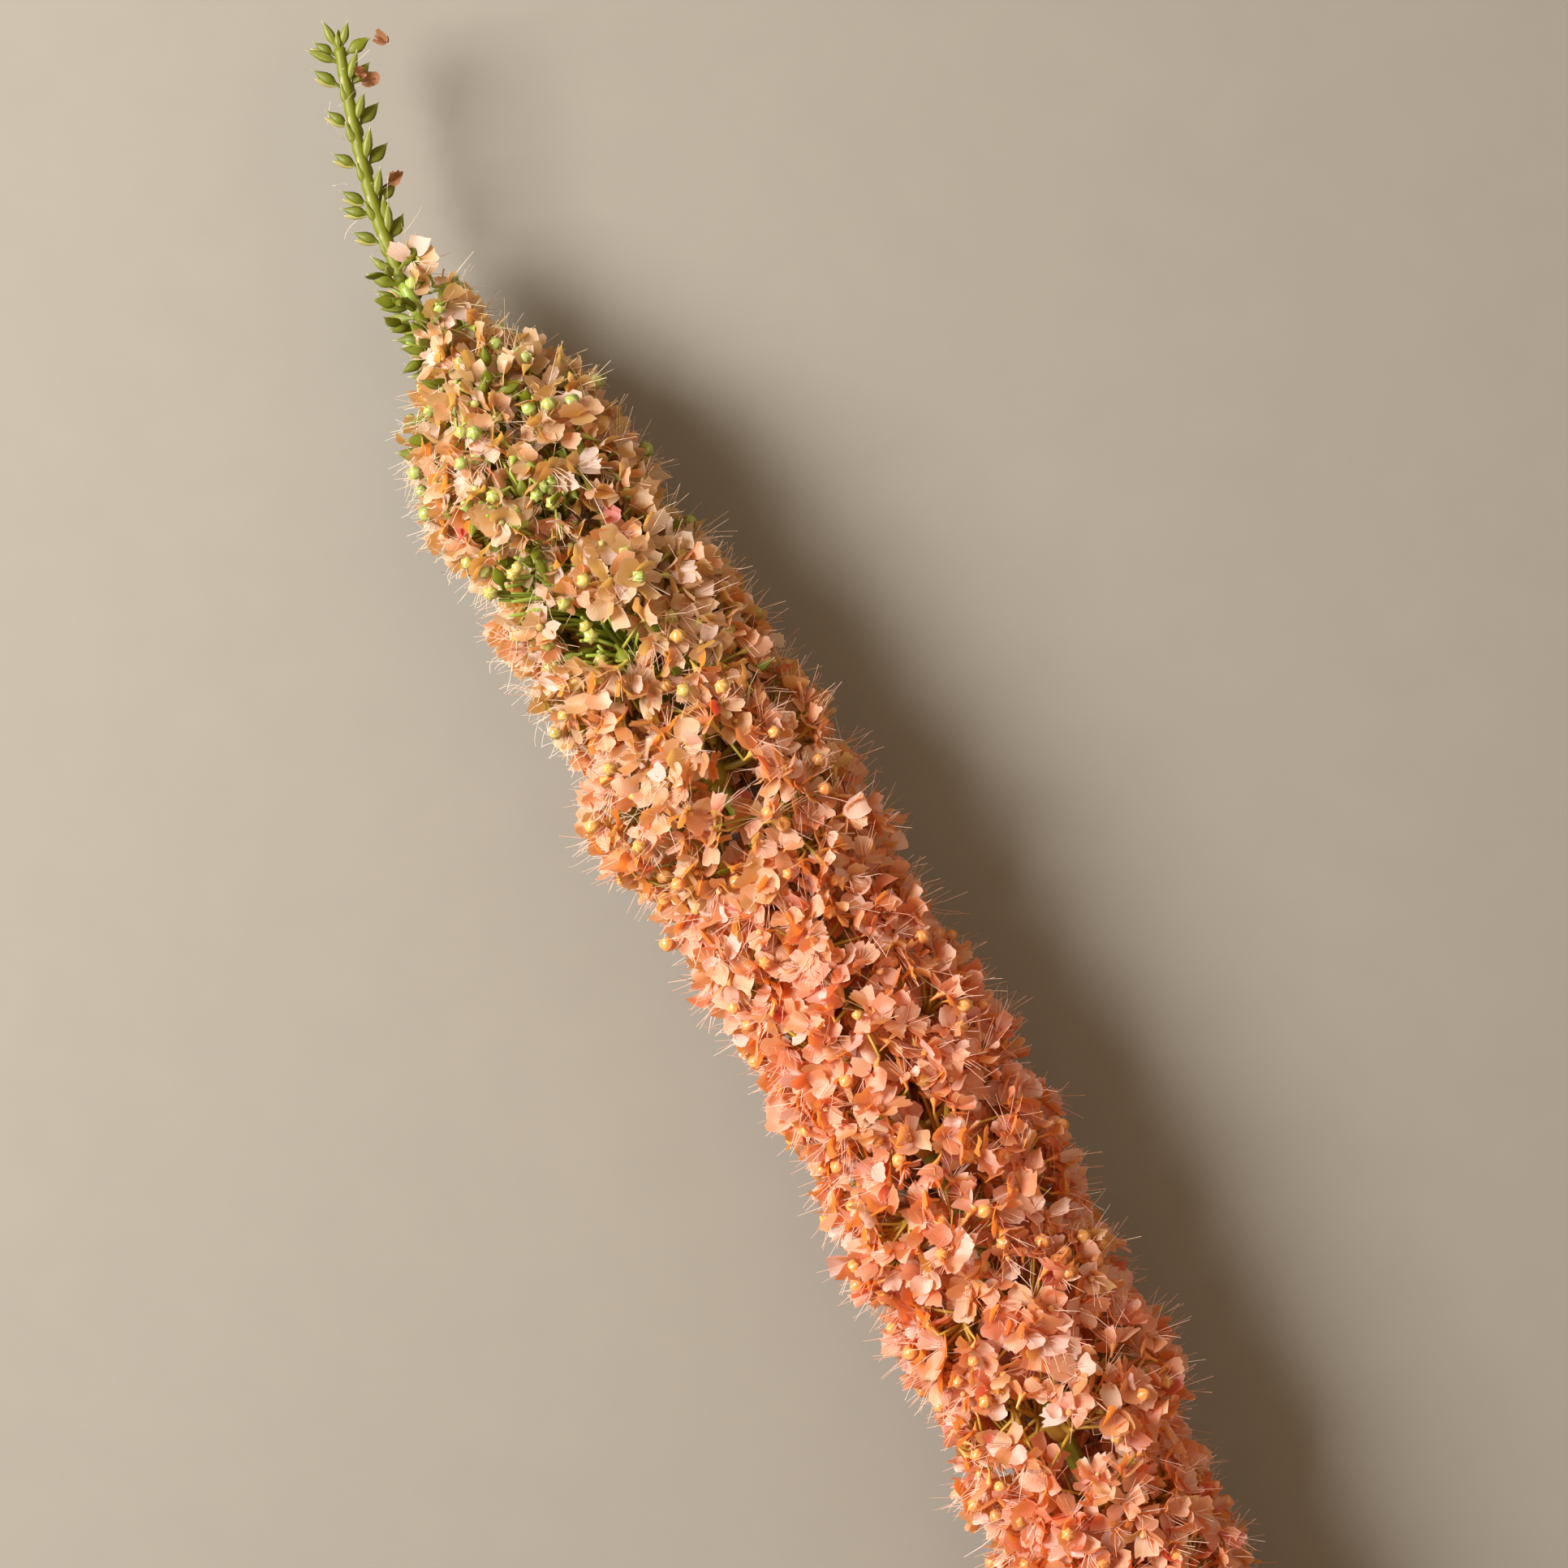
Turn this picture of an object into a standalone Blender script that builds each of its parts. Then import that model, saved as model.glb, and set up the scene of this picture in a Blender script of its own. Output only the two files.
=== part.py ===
"""Foxtail lily: one cut artificial flower stem, lying on a surface with its tip towards +X.

The stem is one bowed rod. Tiers of small florets are threaded on it one after the other, each
a ring of cupped florets round a bore that clears the stem. A moulded green spike with pointed
buds carries on from the stem's upper end.
Lengths here are in millimetres and are turned to metres as each mesh is made.
"""

import math
import random

import bmesh
import bpy
from mathutils import Matrix, Vector

MM = 0.001
TOUCH_GAP = 0.3

# Where the middle of the stem runs: x along the flower, y across it, z above the surface.
REST_HEIGHT = 28.5
STEM_ROUTE = (
    (-331.0, 24.5, 3.0),
    (-276.0, 20.0, 5.5),
    (-219.0, 14.5, 16.5),
    (-157.0, 8.5, 26.0),
    (-91.0, 3.5, REST_HEIGHT),
    (-16.0, -1.0, REST_HEIGHT),
    (59.0, -2.5, REST_HEIGHT),
    (142.0, 0.5, REST_HEIGHT),
    (184.0, 3.0, REST_HEIGHT),
    (211.0, 5.5, REST_HEIGHT),
    (235.0, 8.0, REST_HEIGHT),
    (256.0, 9.5, REST_HEIGHT),
    (276.0, 8.0, REST_HEIGHT),
    (295.0, 4.0, REST_HEIGHT),
    (312.0, -1.0, REST_HEIGHT),
    (324.0, -5.0, REST_HEIGHT),
)
ROUTE_STEPS = 12  # samples between two points of the route

# The stem's radius at its cut end, where the florets begin and end, and at the spike's tip.
CUT_RADIUS = 2.8
HEAD_FOOT_RADIUS = 2.5
HEAD_TOP_RADIUS = 1.5
TIP_RADIUS = 0.8

# The flowering length, as distances along the stem from its cut end.
HEAD_START = 164.0
HEAD_END = 577.0
NECK_END = 604.0
SPIKE_START = NECK_END - 5.0
TIERS = 16
NECK_TIERS = 2
TIER_GAP = 0.4
BORE_CLEARANCE = 0.6
BORE_SIDES = 8
END_DISH = 0.4  # how far the bore's rim is sunk into each end of a tier

# How far the petals reach sideways from the stem, to the left and to the right of someone who looks
# down on the flower along it, as (distance along the stem, reach). The head is lumpy.
LEFT_REACH = (
    (164.0, 22.0), (180.0, 28.5), (209.0, 31.0), (244.0, 31.0), (256.0, 28.5), (266.0, 31.0), (276.0, 27.0),
    (292.0, 27.0), (310.0, 32.0), (316.0, 27.5), (328.0, 33.0), (340.0, 30.5), (346.0, 32.0), (358.0, 27.0),
    (368.0, 30.8), (378.0, 28.0), (394.0, 31.0), (404.0, 28.5), (412.0, 32.5), (420.0, 29.5), (436.0, 31.0),
    (446.0, 37.0), (460.0, 34.5), (466.0, 32.0), (472.0, 25.0), (480.0, 30.0), (492.0, 31.5), (502.0, 28.0),
    (508.0, 31.0), (520.0, 23.0), (530.0, 27.2), (544.0, 29.0), (552.0, 26.0), (560.0, 23.0), (568.0, 16.5),
    (575.0, 10.0), (604.0, 6.5),
)
RIGHT_REACH = (
    (164.0, 22.0), (180.0, 28.5), (209.0, 31.0), (244.0, 30.0), (262.0, 28.0), (270.0, 34.0), (286.0, 35.0),
    (298.0, 31.0), (310.0, 33.5), (318.0, 31.0), (334.0, 33.0), (346.0, 36.0), (358.0, 30.5), (364.0, 35.0),
    (376.0, 32.8), (400.0, 31.0), (412.0, 28.5), (424.0, 34.5), (436.0, 31.5), (446.0, 33.5), (466.0, 31.0),
    (490.0, 31.0), (502.0, 31.5), (520.0, 25.0), (528.0, 29.0), (540.0, 27.5), (550.0, 28.5), (560.0, 24.0),
    (568.0, 20.8), (580.0, 14.5), (592.0, 11.5), (604.0, 6.5),
)

# One cupped floret of a tier's solid.
FLORET_WIDTH = 19.5
FEWEST_FLORETS = 6
PETAL_RISE = 6.0  # from the gaps between florets out to the petals' tips
CUP_DEPTH = 3.2
CUP_RIM = 1.5
LIVELINESS = 1.3  # how much a petal's reach varies either way
ROW_ZIGZAG = 0.16  # how far a row's edge zigzags, as a share of the tier's length
FULL_SIZE_RADIUS = 25.0  # a thinner tier has shallower cups

# Buds stand in pairs up the spike, each pair a quarter turn from the one below it.
BUD_START = NECK_END + 5.0
BUD_PITCH = 4.9
BUD_PAIRS = 11
BUD_SIDES = 6
SIDE_LEAN = math.radians(50.0)
FACE_LEAN = math.radians(28.0)
BUD_OUTLINE = ((9.6, 0.0), (8.8, 0.25), (6.0, 1.1), (4.6, 1.25), (3.0, 0.5), (0.0, 0.5), (0.0, 0.0))

STEM_GREEN = (0.26, 0.33, 0.05)
BUD_GREEN = (0.36, 0.46, 0.06)
PETAL_CORAL = (0.82, 0.36, 0.20)
PETAL_PEACH = (0.80, 0.50, 0.30)


def clear_scene():
    for obj in list(bpy.data.objects):
        bpy.data.objects.remove(obj, do_unlink=True)


def new_collection(name):
    collection = bpy.data.collections.new(name)
    bpy.context.scene.collection.children.link(collection)
    return collection


def material(name, colour, roughness):
    made = bpy.data.materials.new(name)
    made.use_nodes = True
    shader = made.node_tree.nodes["Principled BSDF"]
    shader.inputs["Base Color"].default_value = (*colour, 1.0)
    shader.inputs["Roughness"].default_value = roughness
    shader.inputs["Metallic"].default_value = 0.0
    return made


def smooth_route(points, steps):
    """Points along a Catmull-Rom curve through the given ones."""
    route = [Vector(p) for p in points]
    ends = [2 * route[0] - route[1], *route, 2 * route[-1] - route[-2]]
    found = []
    for a, b, c, d in zip(ends, ends[1:], ends[2:], ends[3:]):
        for k in range(steps):
            t = k / steps
            bend = (2 * a - 5 * b + 4 * c - d) * t**2 + (3 * b - a - 3 * c + d) * t**3
            found.append(0.5 * (2 * b + (c - a) * t + bend))
    return [*found, route[-1]]


def read_outline(outline, s):
    """The outline's value at s, on straight lines between its points."""
    if s <= outline[0][0]:
        return outline[0][1]
    for (s0, r0), (s1, r1) in zip(outline, outline[1:]):
        if s <= s1:
            return r0 + (r1 - r0) * (s - s0) / (s1 - s0)
    return outline[-1][1]


class Stem:
    """The stem's middle line, read by the distance along it from the cut end."""

    def __init__(self, points):
        self.points = points
        self.along = [0.0]
        for a, b in zip(points, points[1:]):
            self.along.append(self.along[-1] + (b - a).length)
        self.length = self.along[-1]

    def point(self, s):
        s = min(max(s, 0.0), self.length)
        k = next(i for i, end in enumerate(self.along[1:]) if s <= end)
        share = (s - self.along[k]) / (self.along[k + 1] - self.along[k])
        return self.points[k].lerp(self.points[k + 1], share)

    def axes(self, s):
        """Three unit vectors at right angles: along the stem at s, sideways and upwards."""
        reach = 4.0
        along = (self.point(s + reach) - self.point(s - reach)).normalized()
        sideways = Vector((0.0, 0.0, 1.0)).cross(along).normalized()
        return along, sideways, along.cross(sideways)

    def place(self, s, sideways, upwards):
        _, side, up = self.axes(s)
        return self.point(s) + side * sideways + up * upwards

    def radius(self, s):
        taper = (
            (0.0, CUT_RADIUS),
            (HEAD_START, HEAD_FOOT_RADIUS),
            (HEAD_END, HEAD_TOP_RADIUS),
            (self.length, TIP_RADIUS),
        )
        return read_outline(taper, s)


def add_object(name, mesh, collection, finish):
    obj = bpy.data.objects.new(name, mesh)
    mesh.materials.append(finish)
    collection.objects.link(obj)
    return obj


def tube_along(stem, name, start, end, spacing, collection, finish):
    """A closed round tube along the stem's middle line, from a curve made a mesh."""
    curve = bpy.data.curves.new(name, "CURVE")
    curve.dimensions = "3D"
    curve.bevel_depth = MM
    curve.bevel_resolution = 1
    curve.use_fill_caps = True
    spline = curve.splines.new("POLY")
    rings = round((end - start) / spacing)
    spline.points.add(rings)
    for k, point in enumerate(spline.points):
        s = start + (end - start) * k / rings
        point.co = (*(stem.point(s) * MM), 1.0)
        point.radius = stem.radius(s)
    guide = bpy.data.objects.new(f"{name}_guide", curve)
    collection.objects.link(guide)
    evaluated = guide.evaluated_get(bpy.context.evaluated_depsgraph_get())
    mesh = bpy.data.meshes.new_from_object(evaluated)
    bpy.data.objects.remove(guide)
    weld_caps(mesh)
    mesh.shade_smooth()
    mesh.set_sharp_from_angle(angle=math.radians(60.0))
    return add_object(name, mesh, collection, finish)


def weld_caps(mesh):
    bm = bmesh.new()
    bm.from_mesh(mesh)
    bmesh.ops.remove_doubles(bm, verts=bm.verts, dist=0.01 * MM)
    bmesh.ops.recalc_face_normals(bm, faces=bm.faces)
    bm.to_mesh(mesh)
    bm.free()


def petal_reach(s, turn):
    """How far the petals reach at an angle round the stem: its two sides blended, 0 being the left."""
    left = (1 + math.cos(turn)) / 2
    return read_outline(LEFT_REACH, s) * left + read_outline(RIGHT_REACH, s) * (1 - left)


def ring(bm, s, reach, count, shift=lambda j: 0.0):
    """A ring of points round the stem, still unbent: x along it, y and z across it."""
    turns = [2 * math.pi * j / count for j in range(count)]
    return [
        bm.verts.new((s + shift(j), reach(turn) * math.cos(turn), reach(turn) * math.sin(turn)))
        for j, turn in enumerate(turns)
    ]


def edges_round(bm, verts):
    return [bm.edges.get((a, b)) or bm.edges.new((a, b)) for a, b in zip(verts, verts[1:] + verts[:1])]


def floret_cells(bm, rings, count):
    """Two rows of six-sided cells between three rings, the second row half a cell on, like bricks."""
    cells = []
    for row, (low, high) in enumerate(zip(rings, rings[1:])):
        for cell in range(count):
            a, b, c = ((2 * cell + row + step) % (2 * count) for step in range(3))
            cells.append(bm.faces.new([low[a], high[a], high[b], high[c], low[c], low[b]]))
    return cells


def move_out(vert, reach):
    """Moves a point of the unbent tier to a given distance from the stem's middle."""
    factor = reach / math.hypot(vert.co.y, vert.co.z)
    vert.co.y *= factor
    vert.co.z *= factor


def raise_cups(bm, cells, size, chance):
    """Turns each cell into a cup: a raised rim of petals round a deeper middle, which is given back."""
    bmesh.ops.inset_individual(bm, faces=cells, thickness=CUP_RIM, use_even_offset=True)
    for cell in cells:
        floret = chance.uniform(-LIVELINESS, LIVELINESS)
        for vert in cell.verts:
            petal = chance.uniform(-LIVELINESS, LIVELINESS) / 2
            reach = petal_reach(vert.co.x, math.atan2(vert.co.z, vert.co.y))
            move_out(vert, reach + floret + petal)
    middles = bmesh.ops.poke(bm, faces=cells)["verts"]
    for middle in middles:
        move_out(middle, math.hypot(middle.co.y, middle.co.z) - CUP_DEPTH * size)
    return middles


def press_flat(bm, middles):
    """Flattens what would reach below the surface, and a cup whose petals all lie on it."""
    for vert in bm.verts:
        vert.co.z = max(vert.co.z, 0.0)
    for middle in middles:
        if all(edge.other_vert(middle).co.z == 0.0 for edge in middle.link_edges):
            middle.co.z = 0.0


def tier_mesh(stem, start, end, seed):
    """One tier of florets between two stations: cups outside, a bore for the stem inside."""
    middle = (start + end) / 2
    width = petal_reach(middle, math.pi / 2)
    size = min(1.0, width / FULL_SIZE_RADIUS)
    count = max(FEWEST_FLORETS, round(2 * math.pi * width / FLORET_WIDTH))
    zigzag = ROW_ZIGZAG * (end - start)

    bm = bmesh.new()
    rings = [
        ring(bm, s, lambda turn: petal_reach(s, turn) - PETAL_RISE * size, 2 * count, shift)
        for s, shift in (
            (start, lambda j: 0.0),
            (middle, lambda j: zigzag * (-1) ** (j + 1)),
            (end, lambda j: 0.0),
        )
    ]
    cells = floret_cells(bm, rings, count)
    corner = 1 / math.cos(math.pi / BORE_SIDES)
    bore = [
        edges_round(bm, ring(bm, s, lambda turn: (stem.radius(s) + BORE_CLEARANCE) * corner, BORE_SIDES))
        for s in (start + END_DISH, end - END_DISH)
    ]
    bmesh.ops.bridge_loops(bm, edges=bore[0] + bore[1])
    bmesh.ops.bridge_loops(bm, edges=edges_round(bm, rings[0]) + bore[0])
    bmesh.ops.bridge_loops(bm, edges=edges_round(bm, rings[2]) + bore[1])
    middles = raise_cups(bm, cells, size, random.Random(seed))

    for vert in bm.verts:
        vert.co = stem.place(*vert.co)
    press_flat(bm, middles)
    bmesh.ops.recalc_face_normals(bm, faces=bm.faces)
    bmesh.ops.scale(bm, verts=bm.verts, vec=(MM, MM, MM))
    mesh = bpy.data.meshes.new("florets")
    bm.to_mesh(mesh)
    bm.free()
    return mesh


def tier_stations():
    """Start and end of each tier along the stem: the head's equal tiers, then the neck's short ones."""
    head = (HEAD_END - HEAD_START) / TIERS
    neck = (NECK_END - HEAD_END) / NECK_TIERS
    starts = [HEAD_START + head * k for k in range(TIERS)]
    starts += [HEAD_END + neck * k for k in range(NECK_TIERS + 1)]
    return [(a + TIER_GAP / 2, b - TIER_GAP / 2) for a, b in zip(starts, starts[1:])]


def make_tiers(stem, collection):
    coral = material("petal_coral", PETAL_CORAL, 0.8)
    peach = material("petal_peach", PETAL_PEACH, 0.8)
    for k, (start, end) in enumerate(tier_stations()):
        finish = peach if start >= HEAD_END - 80.0 else coral
        add_object(f"floret_tier_{k + 1:02d}", tier_mesh(stem, start, end, seed=k), collection, finish)


def bud_profile():
    """Half of a bud's outline in the XZ plane, from its tip down to the foot of its stalk."""
    mesh = bpy.data.meshes.new("bud")
    points = [(radius * MM, 0.0, height * MM) for height, radius in BUD_OUTLINE]
    mesh.from_pydata(points, [(k, k + 1) for k in range(len(points) - 1)], [])
    return mesh


def add_bud(profile, root, direction, collection):
    """A bud turned from its profile, with its foot at the root."""
    turn = direction.to_track_quat("Z", "Y").to_matrix().to_4x4()
    bud = bpy.data.objects.new("bud", profile)
    bud.matrix_world = Matrix.Translation(root * MM) @ turn
    bud.hide_render = True
    bud.display_type = "WIRE"
    screw = bud.modifiers.new("turn", "SCREW")
    screw.steps = BUD_SIDES
    screw.render_steps = BUD_SIDES
    screw.use_merge_vertices = True
    screw.merge_threshold = 0.01 * MM
    collection.objects.link(bud)


def make_spike(stem, collection, joined):
    """The green tip: a tapering tube with its buds fused on."""
    finish = material("bud_green", BUD_GREEN, 0.4)
    spike = tube_along(stem, "bud_spike", SPIKE_START + TOUCH_GAP, stem.length, 5.0, collection, finish)
    profile = bud_profile()
    for pair in range(BUD_PAIRS):
        s = BUD_START + BUD_PITCH * pair
        along, side, up = stem.axes(s)
        to_the_side = pair % 2 == 0
        lean = SIDE_LEAN if to_the_side else FACE_LEAN
        for outwards in (side, -side) if to_the_side else (up, -up):
            direction = along * math.cos(lean) + outwards * math.sin(lean)
            add_bud(profile, stem.point(s), direction, joined)
    end = stem.length - 2.0
    add_bud(profile, stem.point(end), stem.axes(end)[0], joined)
    union = spike.modifiers.new("fuse_buds", "BOOLEAN")
    union.operation = "UNION"
    union.operand_type = "COLLECTION"
    union.collection = joined
    union.solver = "EXACT"


def main():
    clear_scene()
    parts = new_collection("foxtail_lily")
    joined = new_collection("joined_buds")
    stem = Stem(smooth_route(STEM_ROUTE, ROUTE_STEPS))
    tube_along(stem, "stem", 0.0, SPIKE_START, 20.0, parts, material("stem_green", STEM_GREEN, 0.5))
    make_tiers(stem, parts)
    make_spike(stem, parts, joined)


main()
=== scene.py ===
"""The looks of the artificial foxtail lily: cloth florets, beads and bristles on a moulded green stem.

Everything is grown along the stem's middle line, the same one that the solids are built on.
Lengths here are in millimetres and are turned to metres as each mesh is made.
"""

import math

import bpy
import numpy as np
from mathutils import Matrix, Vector


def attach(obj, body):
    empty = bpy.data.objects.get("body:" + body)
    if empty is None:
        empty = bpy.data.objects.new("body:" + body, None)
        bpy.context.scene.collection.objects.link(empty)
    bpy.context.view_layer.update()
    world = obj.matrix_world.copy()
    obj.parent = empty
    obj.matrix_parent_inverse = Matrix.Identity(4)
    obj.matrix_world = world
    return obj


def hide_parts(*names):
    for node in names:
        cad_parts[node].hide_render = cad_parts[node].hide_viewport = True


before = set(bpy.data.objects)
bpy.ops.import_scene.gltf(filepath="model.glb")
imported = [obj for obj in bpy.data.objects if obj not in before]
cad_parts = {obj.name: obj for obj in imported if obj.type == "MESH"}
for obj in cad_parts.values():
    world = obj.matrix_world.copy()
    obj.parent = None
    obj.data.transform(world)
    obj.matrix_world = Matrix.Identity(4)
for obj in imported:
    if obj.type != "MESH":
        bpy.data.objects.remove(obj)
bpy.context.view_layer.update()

MM = 0.001
TAU = 2 * math.pi
GOLDEN_TURN = math.pi * (3 - math.sqrt(5))

# The stem's middle line, and where the flowering part begins and ends along it.
REST_HEIGHT = 28.5
DROOPING_ROUTE = ((-331.0, 24.5, 3.0), (-276.0, 20.0, 5.5), (-219.0, 14.5, 16.5), (-157.0, 8.5, 26.0))
LEVEL_ROUTE = (
    (-91.0, 3.5), (-16.0, -1.0), (59.0, -2.5), (142.0, 0.5), (184.0, 3.0), (211.0, 5.5), (235.0, 8.0),
    (256.0, 9.5), (276.0, 8.0), (295.0, 4.0), (312.0, -1.0), (324.0, -5.0),
)
STEM_ROUTE = (*DROOPING_ROUTE, *((x, y, REST_HEIGHT) for x, y in LEVEL_ROUTE))
ROUTE_STEPS = 12
HEAD_START = 164.0
HEAD_END = 577.0
NECK_END = 604.0
TIERS = 16
NECK_TIERS = 2
HEAD_OUTLINE = (
    (HEAD_START, 22.0), (HEAD_START + 16.0, 28.5), (HEAD_START + 45.0, 31.0),
    (HEAD_END - 90.0, 31.5), (HEAD_END - 25.0, 29.5), (HEAD_END - 8.0, 23.0),
    (HEAD_END, 15.0), (HEAD_END + 10.0, 12.0), (NECK_END, 8.5),
)
STEM_TAPER = ((0.0, 2.8), (HEAD_START, 2.5), (HEAD_END, 1.7), (NECK_END, 1.6), (662.0, 1.2))

# How far the petals reach on the picture's left and right, as (station, reach).
LEFT_REACH = (
    (164, 22.0), (180, 28.5), (209, 31.0), (244, 31.0), (256, 28.5), (266, 31.0), (276, 27.0), (292, 27.0),
    (310, 32.0), (316, 27.5), (328, 33.0), (340, 30.5), (346, 32.0), (358, 27.0), (368, 30.8), (378, 28.0),
    (394, 31.0), (404, 28.5), (412, 32.5), (420, 29.5), (436, 31.0), (446, 37.0), (460, 34.5), (466, 32.0),
    (472, 25.0), (480, 30.0), (492, 31.5), (502, 28.0), (508, 31.0), (520, 23.0), (530, 27.2), (544, 29.0),
    (552, 26.0), (560, 23.0), (568, 16.5), (575, 10.0), (604, 6.5),
)
RIGHT_REACH = (
    (164, 22.0), (180, 28.5), (209, 31.0), (244, 30.0), (262, 28.0), (270, 34.0), (286, 35.0), (298, 31.0),
    (310, 33.5), (318, 31.0), (334, 33.0), (346, 36.0), (358, 30.5), (364, 35.0), (376, 32.8), (400, 31.0),
    (412, 28.5), (424, 34.5), (436, 31.5), (446, 33.5), (466, 31.0), (490, 31.0), (502, 31.5), (520, 25.0),
    (528, 29.0), (540, 27.5), (550, 28.5), (560, 24.0), (568, 20.8), (580, 14.5), (592, 11.5), (604, 6.5),
)

# Florets: cloth cups of five petals, spread over each tier at an even density.
TIER_SEED = 100
OUTER_AREA = 50.0  # square millimetres of a tier's surface for each outer floret
INNER_SHARE = 0.34  # inner florets for each outer one
INNER_REACH = (0.42, 0.74)  # where the inner ones sit, as shares of the petals' reach
FLORET_SINK = 3.2  # how far a floret's middle sits under the petals' reach
SINK_SPREAD = 1.7
LEAST_RADIUS = 3.2
LEAN = 1.5  # how much further a tier's upper florets lean up the stem than its lower ones
LEVEL_SHARE = 0.42  # where along a tier they face straight out
LEAN_SPREAD = 0.3
FACING_SPREAD = 0.5
SIZE_SPREAD = 0.10
NECK_SIZE = 0.95
FULL_WIDTH = 25.0  # a tier of this radius or more has full-size arms and lumps
ARMS = 7  # moulded arms on a tier, each of which carries a lump of florets
NECK_ARMS = 4
ARM_STEP = 0.2  # how far the arms zigzag along a tier, as a share of its length
ARM_TURN_SPREAD = 0.12
ARM_STATION_SPREAD = 1.5
ARM_RADIUS = 30.0  # turns angles round a wide tier to millimetres
LUMP_SIZE = 7.5
LUMP_HEIGHT = 3.4
LUMP_MIDDLE = 0.62  # how near an arm a floret is where the lump's height is nought
FLOOR_CLEARANCE = 0.12
LOW_FLORETS = 5.0  # florets whose middles are lower than this spread sideways
LOWEST_MIDDLE = 2.2
LOW_SQUEEZE = 0.35
LOWEST_FACING = -0.35

# The neck's left side, where most florets are still closed buds.
UPPER_NECK = HEAD_END + 20.0
BARE_FROM = HEAD_END - 3.0
BARE_SHARE = 0.97
THIN_SHARE = 0.25  # florets missing on the neck's other side, at its top

# Petals: blunt fans of cloth with a frayed end.
PETALS = 5
PETAL_TURN_SPREAD = 0.24
PETAL_FOOT = 0.6  # how far from its floret's axis a petal starts
PETAL_FOOT_SPREAD = 0.45
PETAL_LENGTH = 5.1
PETAL_WIDTH = 5.5
PETAL_EDGE = 16  # points round a petal's edge
EDGE_CROWDING = 0.42  # how much closer those points are at the frayed end
INNER_RING = 0.56  # where a petal's inner ring of points lies, as a share of its edge
OPENNESS = (1.2, 0.36)  # a petal's angle from its floret's axis, and how much that varies
PETAL_JITTER = 0.27
PETAL_TWIST = 0.32
PETAL_TEETH = 0.05
PETAL_FRAY = 0.07
PETAL_TAPER = 0.44
BLUNTNESS = 0.52  # exponents of the petal's outline: 1 is an ellipse and 0 is a square
PLUMPNESS = 0.78
CUP = (0.07, 0.06)
CURL = (0.02, 0.04)
RIPPLE = 0.28
TINT_SPREAD = 0.12
RED_PETALS = 0.008  # share of petals that are dyed much redder
RED_TINT = 0.95
REDDEST_USUAL = 0.8

# Beads, bristles, branches and the closed buds of the upper tiers.
BEAD_SHARE = (0.22, 0.4)  # florets with a bead beside them, low down and at the head's end
BEAD_LENGTH = (3.5, 0.3)  # lengths as (usual, spread)
BEAD_ASIDE = (1.0, 3.2)
BEAD_RISE = (0.0, 2.0)
BEAD_TILT = 0.5
ANTHER_SHARE = 0.3
ANTHER_LENGTH = (1.9, 0.25)
CALYX_LENGTH = (3.8, 0.3)
GREEN_SPREAD = 0.12
BRISTLES = 7
BRISTLE_SHARE = (0.12, 0.95)  # how many of a tuft's bristles an inner and an outer floret has
BRISTLE_LENGTHS = (4.0, 11.5)
BRISTLE_RADII = (0.075, 0.125)
TUFT_SPREAD = 0.5
BRISTLE_SPREAD = 0.36
BRISTLE_BEND = 0.13
BRISTLE_GREEN_SPREAD = 0.15
CEILING = 68.0  # no bristle rises past this height
COLLAR = (0.35, 1.2, 1.6, 1.7, 1.1, 0.35)  # how far a tier's collar stands out of the stem, along it
ARM_REACH = 0.58  # how far out an arm's tip is, as a share of the head's outline
ARM_RADII = (1.15, 0.7)  # at its foot and its tip
TWIG_RADII = (0.66, 0.52, 0.42, 0.36)
STALK_RADII = (0.95, 0.4)
LEAFY_FROM = 400.0
MOST_LEAFY = 30
LEAFY_REACH = (0.5, 0.85)

# Thin places where the moulded stem shows through: x, y and radius, on the side that faces up.
THIN_SPOTS = ((160.0, 4.2, 8.5), (-62.0, -2.8, 9.0), (-50.0, 14.2, 6.0), (118.0, -2.8, 6.0))

# Places near the top where green stalks, closed buds and beads show: x, y, z and radius.
GREEN_PATCHES = ((162.0, 5.0, 46.0, 9.5), (181.0, 18.0, 46.0, 9.0), (200.0, 10.0, 50.0, 12.0))
PATCH_SEED = 44
PATCH_STALKS = 34
PATCH_BUDS = 5
PATCH_BEADS = 3
# Tangled pale fibres.
FUZZ = 300
FUZZ_STATIONS = (450.0, 572.0)
FUZZ_RADIUS = 0.06

# Where the cloth turns from coral to tan, in metres from the middle of the flower towards its tip.
CORAL_BELOW = 0.06
TAN_ABOVE = 0.185
TAN_TINT = 0.06
CORAL_TINT = 0.42  # what coral petals have more than tan ones
FLORET_TINT_SPREAD = 0.11
DEEPEST_FLORET = 0.74
PEACH_LENGTH = 80.0  # the top of the head
# Where moulded things begin to turn green and over what length, in metres in the same way.
BEADS_GREEN = (0.10, 0.10)
CALYXES_GREEN = (0.05, 0.15)
BRISTLES_GREEN = (0.10, 0.15)
BRANCHES_GREEN = (0.02, 0.2)


def smooth_route(points, steps):
    """Points along a Catmull-Rom curve through the given ones."""
    route = [np.array(p) for p in points]
    ends = [2 * route[0] - route[1], *route, 2 * route[-1] - route[-2]]
    found = []
    for a, b, c, d in zip(ends, ends[1:], ends[2:], ends[3:]):
        for k in range(steps):
            t = k / steps
            bend = (2 * a - 5 * b + 4 * c - d) * t**2 + (3 * b - a - 3 * c + d) * t**3
            found.append(0.5 * (2 * b + (c - a) * t + bend))
    return np.array([*found, route[-1]])


ROUTE = smooth_route(STEM_ROUTE, ROUTE_STEPS)
ROUTE_ALONG = np.concatenate([[0.0], np.cumsum(np.linalg.norm(np.diff(ROUTE, axis=0), axis=1))])
STEM_LENGTH = ROUTE_ALONG[-1]


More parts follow.
